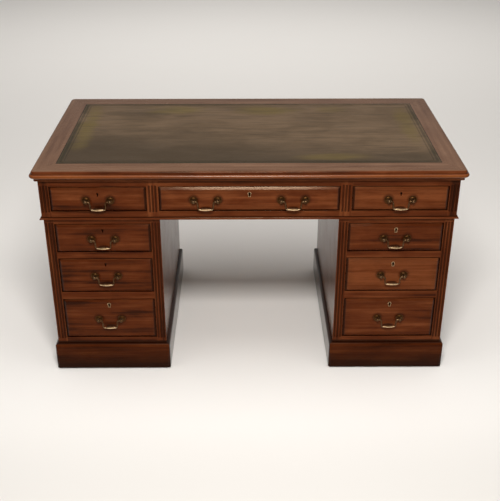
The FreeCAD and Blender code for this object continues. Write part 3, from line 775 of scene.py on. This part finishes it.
# leather: a skin with lines tooled round its edge
leatherSkin = {
    "gridStep": 0.012,
    "sag": 0.00012,
    "sagWaves": (41, 53, 17),
    "edgeRound": 0.0005,
    "edgeAngle": 1.0,
    "toolLines": (0.0095, 0.0135, 0.0230),
    "lineHalf": 0.0007,
    "lineDepth": 0.0003,
    "lineSpread": 2.2,
    "lineShare": 0.6,
    "cutReach": 1e-7,
}
leatherColour = {
    "brown": (0.141, 0.0880, 0.0480, 1),
    "dark": (0.047, 0.0305, 0.0162, 1),
    "gold": (0.134, 0.0920, 0.0270, 1),
    "edgeGreen": (0.034, 0.0285, 0.0120, 1),
    "line": (0.008, 0.006, 0.004, 1),
    "patch": ((5.0, 11.0, 1.0), 5.0, 0.6, 0.4),  # scale, detail, roughness, distortion
    "brushed": ((7.0, 75.0, 1.0), 4.0, 0.6),
    "patchDark": (0.62, 0.34, 0.0, 0.35),
    "brushedDark": (0.42, 0.68, 0.0, 0.46),
    "ragged": 1.8,
    "spotEdge": (1.4, 0.3, 0.0),
    "goldPatches": (  # place across and deep, half sizes, strength
        (-0.27, 0.235, 0.11, 0.045, 0.8), (0.07, 0.225, 0.12, 0.050, 0.7), (0.31, 0.245, 0.06, 0.040, 0.4),
        (0.27, -0.255, 0.14, 0.030, 0.5), (-0.585, 0.060, 0.035, 0.20, 0.8), (0.585, 0.040, 0.035, 0.20, 0.6),
    ),
    "darkPatches": (
        (-0.22, -0.020, 0.16, 0.050, 0.20), (0.52, -0.255, 0.12, 0.035, 0.5),
        (-0.42, 0.200, 0.12, 0.050, 0.4), (0.20, -0.02, 0.20, 0.030, 0.15),
    ),
    "gloom": (0.62, 3.25, 0.33),  # painted shade, darker at the front left: slopes across and deep, and where it starts
    "gloomRagged": 0.22,
    "gloomRange": (0.45, -0.60, 0.0, 0.9),
    "greenReach": (0.005, 0.026, 0.62, 0.0),
    "greenPatches": (0.60, 0.40, 0.35, 1.0),
    "rimLine": (0.0008, 0.0035, 1.0, 0.0),
    "rough": (0.3, 0.7, 0.50, 0.42),
    "hideScale": 620.0,
    "hideHeight": (0.0, 0.25),
    "brushedHeight": 0.5,
    "relief": 0.22,
    "reliefDepth": 0.0003,
    "shine": 0.12,
}


def pressLines(bm, low, high):
    half = leatherSkin["lineHalf"]
    for inset in leatherSkin["toolLines"]:
        for axis in (0, 1):
            for edge, side in ((low[axis], 1), (high[axis], -1)):
                for shift in (-half, 0.0, half):
                    point, normal = Vector((0, 0, 0)), Vector((0, 0, 0))
                    point[axis] = edge + side * (inset + shift)
                    normal[axis] = 1.0
                    bmesh.ops.bisect_plane(
                        bm, geom=bm.verts[:] + bm.edges[:] + bm.faces[:], plane_co=point, plane_no=normal,
                        dist=leatherSkin["cutReach"])
    for vert in bm.verts:
        room = min(min(vert.co[i] - low[i], high[i] - vert.co[i]) for i in (0, 1))
        if any(abs(room - inset) < half / 2 for inset in leatherSkin["toolLines"]):
            vert.co.z -= leatherSkin["lineDepth"]


def patchMask(tree, place, patches, ragged):
    mask = 0.0
    for x, y, halfWidth, halfDepth, strength in patches:
        ends = {0: place, 1: (x, y, 0)}
        offset = addNode(tree, "ShaderNodeVectorMath", ends, operation="SUBTRACT").outputs[0]
        away = lengthOf(tree, stretched(tree, offset, (1 / halfWidth, 1 / halfDepth, 0)))
        spot = remap(tree, plus(tree, away, ragged), *leatherColour["spotEdge"], strength)
        mask = larger(tree, spot, mask)
    return mask


def lineMask(tree, room):
    mask, half = remap(tree, room, *leatherColour["rimLine"]), leatherSkin["lineHalf"]
    for inset in leatherSkin["toolLines"]:
        away = sizeOf(tree, minus(tree, room, inset))
        line = remap(tree, away, half, half * leatherSkin["lineSpread"], leatherSkin["lineShare"], 0.0)
        mask = larger(tree, mask, line)
    return mask


def makeLeatherMaterial(high):
    look = leatherColour
    made, tree, shader = newMaterial("wornLeather", {"Specular IOR Level": look["shine"]})
    place = placeOn(tree)
    parts = partsOf(tree, place)
    room = smaller(tree, *(minus(tree, high[i], sizeOf(tree, parts[i])) for i in (0, 1)))
    patch, brushed = (stretchedNoise(tree, place, *look[name]) for name in ("patch", "brushed"))
    ragged = fromMiddle(tree, patch, look["ragged"])
    skin = blendColour(tree, remap(tree, patch, *look["patchDark"]), look["brown"], look["dark"])
    skin = blendColour(tree, patchMask(tree, place, look["darkPatches"], ragged), skin, look["dark"])
    across, deep, start = look["gloom"]
    reach = plus(tree, times(tree, parts[0], across), times(tree, parts[1], deep))
    reach = plus(tree, plus(tree, reach, start), times(tree, ragged, look["gloomRagged"]))
    skin = blendColour(tree, remap(tree, reach, *look["gloomRange"]), skin, look["dark"])
    skin = blendColour(tree, patchMask(tree, place, look["goldPatches"], ragged), skin, look["gold"])
    green = times(tree, remap(tree, room, *look["greenReach"]), remap(tree, patch, *look["greenPatches"]))
    skin = blendColour(tree, green, skin, look["edgeGreen"])
    skin = blendColour(tree, remap(tree, brushed, *look["brushedDark"]), skin, look["dark"])
    skin = blendColour(tree, lineMask(tree, room), skin, look["line"])
    tree.links.new(skin, shader.inputs["Base Color"])
    tree.links.new(remap(tree, patch, *look["rough"]), shader.inputs["Roughness"])
    cells = {"Vector": place, "Scale": look["hideScale"]}
    hide = addNode(tree, "ShaderNodeTexVoronoi", cells, feature="DISTANCE_TO_EDGE").outputs[0]
    streaks = times(tree, brushed, look["brushedHeight"])
    height = plus(tree, remap(tree, hide, *look["hideHeight"]), streaks)
    tree.links.new(bumpNormal(tree, height, look["relief"], look["reliefDepth"]), shader.inputs["Normal"])
    return made


def makeLeather():
    low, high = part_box("leather_writing_surface")
    bm = bmesh.new()
    span = high - low
    steps = [int(round(span[i] / leatherSkin["gridStep"])) for i in (0, 1)]
    bmesh.ops.create_grid(bm, x_segments=steps[0], y_segments=steps[1], size=0.5)
    bmesh.ops.scale(bm, vec=(span.x, span.y, 1.0), verts=bm.verts)
    bmesh.ops.translate(bm, vec=((low.x + high.x) / 2, (low.y + high.y) / 2, high.z), verts=bm.verts)
    across, deep, slant = leatherSkin["sagWaves"]
    for vert in bm.verts:
        wave = math.sin(vert.co.x * across) * math.sin(vert.co.y * deep + vert.co.x * slant)
        vert.co.z -= leatherSkin["sag"] * (1 + wave) / 2
    pressLines(bm, low, high)
    rim = bmesh.ops.extrude_edge_only(bm, edges=[e for e in bm.edges if e.is_boundary])
    for item in rim["geom"]:
        if isinstance(item, bmesh.types.BMVert):
            item.co.z = low.z
    bmesh.ops.holes_fill(bm, edges=[e for e in bm.edges if e.is_boundary])
    bmesh.ops.recalc_face_normals(bm, faces=bm.faces)
    middle = (low.z + high.z) / 2
    sharp = [e for e in bm.edges if e.calc_face_angle(0) > leatherSkin["edgeAngle"]]
    topRim = [e for e in sharp if min(v.co.z for v in e.verts) > middle]
    bmesh.ops.bevel(bm, geom=topRim, offset=leatherSkin["edgeRound"], segments=2, profile=0.5, affect="EDGES",
                    clamp_overlap=True, material=-1)
    skin = meshPiece(bm, "leather_writing_skin", [makeLeatherMaterial(high)])
    standFor(skin, "leather_writing_surface")


# brass handles and fittings
brassMaking = {
    "rosetteRub": -0.03,
    "postRub": 0.06,
    "postLength": 0.02,
    "escutcheonRub": 0.66,
    "escutcheonSlimness": 1.3,
    "keyholeShade": -0.15,
    "keyholePlace": 0.0058,
    "keyholeReach": 0.0047,
    "keyslotReach": (0.0029, 0.0011),
    "neckRub": 0.05,
    "gripRubAndReflection": 0.82,
    "gripStart": 0.55,
    "gripFade": 0.35,
    "gripReflectionBand": (0.0044, 0.0066),
}


def dressBrass(node, rubOf):
    bm = bmesh.new()
    bm.from_mesh(nodes[node].data)
    layer = bm.faces.layers.int.new("solid")
    count = splitSolids(bm, layer)
    weldSolids(bm, layer, count)
    rubLayer = bm.verts.layers.float.new("brightened")
    for verts in solidVerts(bm, layer, count):
        low, high = spanOf(verts)
        for vert in verts:
            vert[rubLayer] = rubOf(vert.co, low, high)
    standFor(meshPiece(bm, node + "_brass", [handleBrass]), node)


def inKeyhole(place, low, high):
    across, drop = abs(place.x - (low.x + high.x) / 2), high.z - brassMaking["keyholePlace"] - place.z
    halfSlot, slotEnd = brassMaking["keyslotReach"]
    inSlot = drop > 0 and across < halfSlot and place.z > low.z + slotEnd
    return inSlot or math.hypot(across, drop) < brassMaking["keyholeReach"]


def fittingRubAndShade(place, low, high):
    span = high - low
    if span.z > span.x * brassMaking["escutcheonSlimness"]:
        # the keyhole is painted dark, as the shade inside it
        return brassMaking["keyholeShade" if inKeyhole(place, low, high) else "escutcheonRub"]
    return brassMaking["postRub"] if span.y > brassMaking["postLength"] else brassMaking["rosetteRub"]


def withinOne(value):
    return min(1.0, max(0.0, value))


def bailRubAndReflection(place, low, high):
    down = (high.z - place.z) / (high.z - low.z)
    share = withinOne((down - brassMaking["gripStart"]) / brassMaking["gripFade"])
    brightUpTo, darkFrom = brassMaking["gripReflectionBand"]  # painted reflection: the grip's under side is bright like the pale floor and its upper side dark like the dim room; fingers rub the under side as well
    share *= withinOne((darkFrom - place.z + low.z) / (darkFrom - brightUpTo))
    return brassMaking["neckRub"] + (brassMaking["gripRubAndReflection"] - brassMaking["neckRub"]) * share


setUpCamera()
setUpLamps()
setUpAir()
makeFloor()
print("camera, lamps and floor are set")

woodGroup = makeWoodGroup()
rimGroup = makeRimGroup()
metalGroup = makeMetalGroup()
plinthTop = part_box("plinth_boards")[1].z
onPedestal = shadeNear(plinthTop, *plinthShade["onPedestal"])
onPlinth = shadeNear(plinthTop, *plinthShade["onPlinth"])
mahogany = makeWood("polishedMahogany", "mahogany", shadeByHeight=onPedestal)
topMahogany = makeWood("topMahogany", "topMahogany", topHeight=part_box("top_moulded_border")[1].z)
sideMahogany = makeWood("sideMahogany", "sideMahogany")
plinthMahogany = makeWood("plinthMahogany", "plinthMahogany", shadeByHeight=onPlinth)
plinthReturn = makeWood("plinthReturn", "plinthReturn", shadeByHeight=onPlinth)
drawerOak = makeWood("drawerOak", "drawerOak")
caseDeal = makeWood("caseDeal", "caseDeal", onNode=True)
pegOak = makeWood("pegOak", "drawerOak", onNode=True)
handleBrass = makeMetal("handleBrass")
castorIron = makeMetal("castorIron", brightened=oldMetal["castorRub"])
print("woods and metals are mixed")

dressBoards("top_moulded_border", topBorder, [topMahogany])
for node, settings in caseBoards.items():
    print(node, dressBoards(node, settings, [mahogany]), "boards")
dressBoards("pedestal_sides_and_backs", pedestalSides, [sideMahogany])
dressBoards("plinth_boards", plinthBoards, [plinthMahogany, plinthReturn])
for name, tone in drawerToneAndShade.items():
    bail = min(node for node in nodes if node.startswith(name) and node.endswith("_bail"))
    dressBoards(name + "_drawer", {"tone": tone, "spread": drawerSpread, "bail": bail}, [mahogany, drawerOak])
    dressBrass(name + "_drawer_fittings", fittingRubAndShade)
for node in sorted(nodes):
    if node.endswith("_bail"):
        dressBrass(node, bailRubAndReflection)
print("drawers and handles are dressed")

makeLeather()
plainFinishes = {"deal": caseDeal, "oak": pegOak, "iron": castorIron}
for piece in nodes.values():
    if not piece.hide_render:
        piece.data.materials[0] = plainFinishes[piece.data.materials[0].name]
print("leather laid, inner boards and castors finished")
